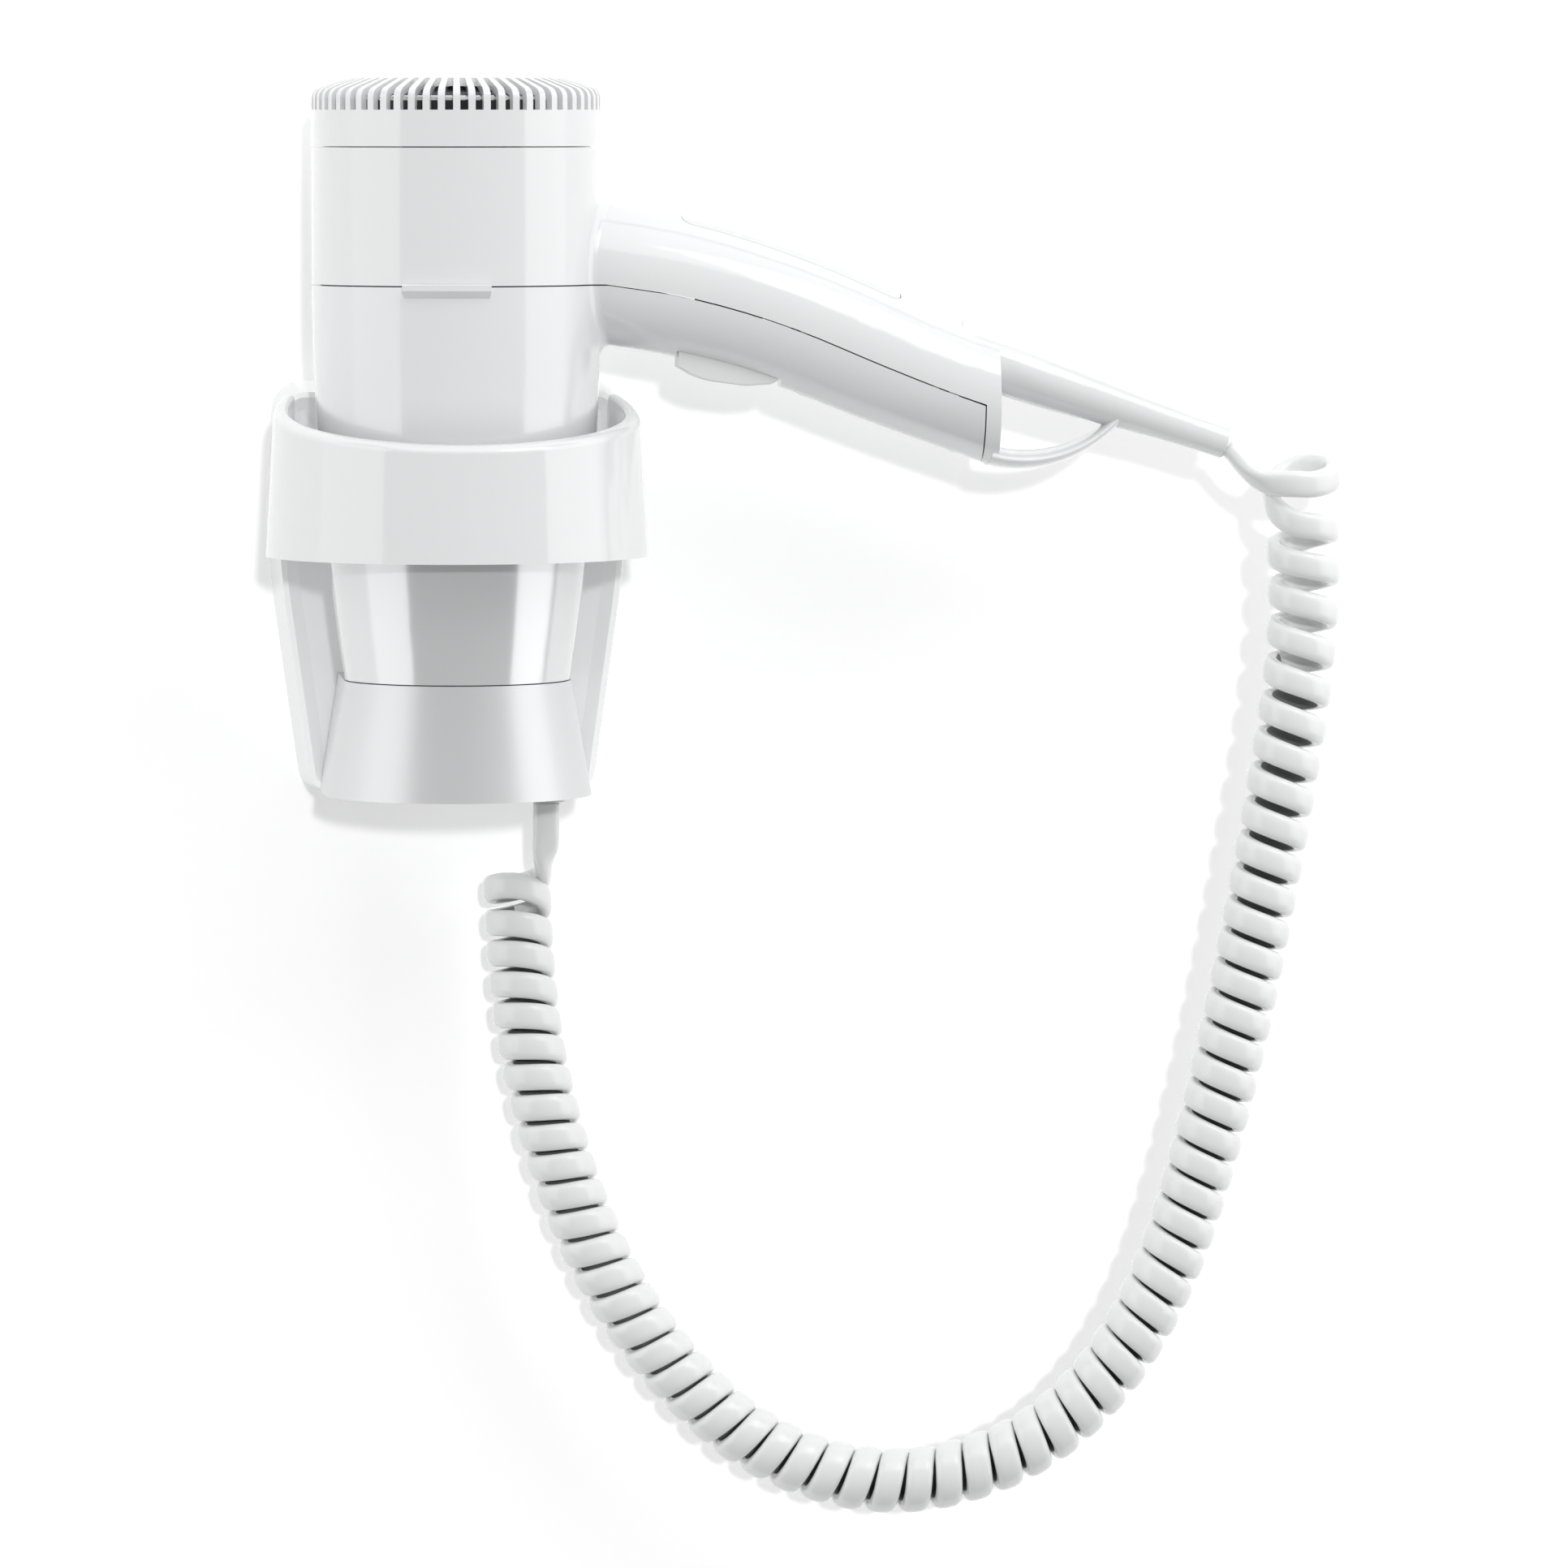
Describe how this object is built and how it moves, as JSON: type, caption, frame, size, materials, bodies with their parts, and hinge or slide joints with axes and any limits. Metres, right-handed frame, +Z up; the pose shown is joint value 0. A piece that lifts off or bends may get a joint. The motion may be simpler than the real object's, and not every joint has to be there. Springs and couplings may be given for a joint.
{
  "type": "wall-mounted hair dryer",
  "caption": "Hair dryer with an upright barrel and long side handle, standing nozzle down in a ring-shaped wall holder and joined to it by a coiled cord.",
  "frame": {"origin": "on the wall plane, at the middle of the back of the holder", "axes": "+X to the right along the dryer's handle, +Y into the wall, +Z up along the barrel"},
  "size_m": [0.2942, 0.1039, 0.4008],
  "materials": {
    "white_gloss": "gloss",
    "grey_inlay": "gloss",
    "filter_mesh": "fine mesh",
    "dark_plastic": "matte",
    "plate_plastic": "matte",
    "steel": "satin",
    "magnet": "matte",
    "mica": "matte",
    "heater_wire": "satin",
    "board": "satin",
    "board_parts": "satin",
    "cord_sheath": "satin",
    "wire": "satin"
  },
  "bodies": {
    "holder": {"wall_plate": "plate_plastic", "supply_grommet": "dark_plastic", "holder_tray": "white_gloss", "holder_band": "white_gloss", "nozzle_rest": "white_gloss", "terminal_block": "dark_plastic", "cutoff_switch": "dark_plastic", "plunger_spring": "steel", "cover_screws": "steel", "holder_cord_bush": "dark_plastic", "holder_cord_tail": "cord_sheath", "holder_wires": "wire", "cord_coil": "cord_sheath", "cord_lead_dryer": "cord_sheath", "cord_lead_holder": "cord_sheath"},
    "dryer": {"rear_housing": "white_gloss", "front_housing": "white_gloss", "handle_inlay": "grey_inlay", "intake_funnel": "dark_plastic", "motor_carrier": "dark_plastic", "motor_can": "steel", "motor_end_cap": "dark_plastic", "motor_magnets": "magnet", "mica_sleeve": "mica", "heater_frame": "mica", "heater_winding": "heater_wire", "thermostat": "steel", "thermal_fuse": "steel", "outlet_grille": "dark_plastic", "trigger_pin": "steel", "micro_switch": "dark_plastic", "housing_screws": "steel", "control_board": "board", "board_parts": "board_parts", "cord_tail": "cord_sheath", "cord_bush": "dark_plastic", "cord_clamp": "dark_plastic", "handle_wires": "wire"},
    "grille": {"rear_grille": "white_gloss", "filter_frame": "white_gloss", "dust_filter": "filter_mesh"},
    "rotor": {"motor_shaft": "steel", "armature": "magnet", "fan": "dark_plastic"},
    "trigger": {"trigger": "white_gloss"},
    "button": {"switch_button": "dark_plastic"},
    "plunger": {"switch_plunger": "dark_plastic"}
  },
  "joints": [
    {"name": "dryer_lift", "type": "slide", "parent": "holder", "child": "dryer", "axis": [0, 0, 1], "range_m": [0, 0.1], "deforming": ["cord_coil", "cord_lead_dryer", "cord_lead_holder"]},
    {"name": "grille_turn", "type": "hinge", "parent": "dryer", "child": "grille", "pos_m": [0, -0.052, 0.13], "axis": [0, 0, 1], "range_deg": [0, 20]},
    {"name": "fan_spin", "type": "hinge", "parent": "dryer", "child": "rotor", "pos_m": [0, -0.052, 0.1], "axis": [0, 0, 1], "continuous": true},
    {"name": "trigger_press", "type": "hinge", "parent": "dryer", "child": "trigger", "pos_m": [0.0845, -0.052, 0.0632], "axis": [0, 1, 0], "range_deg": [0, 7], "stiffness_Nm_per_rad": 0.4, "springref_deg": -2.86},
    {"name": "button_press", "type": "slide", "parent": "dryer", "child": "button", "axis": [0, 0, 1], "range_m": [0, 0.0021]},
    {"name": "plunger_rise", "type": "slide", "parent": "holder", "child": "plunger", "axis": [0, 0, 1], "range_m": [0, 0.003], "deforming": ["plunger_spring"]}
  ],
  "couplings": [
    {"joint": "button_press", "follows": "trigger_press", "m_per_rad": 0.0168},
    {"joint": "plunger_rise", "follows": "dryer_lift", "ratio": 0.03}
  ]
}
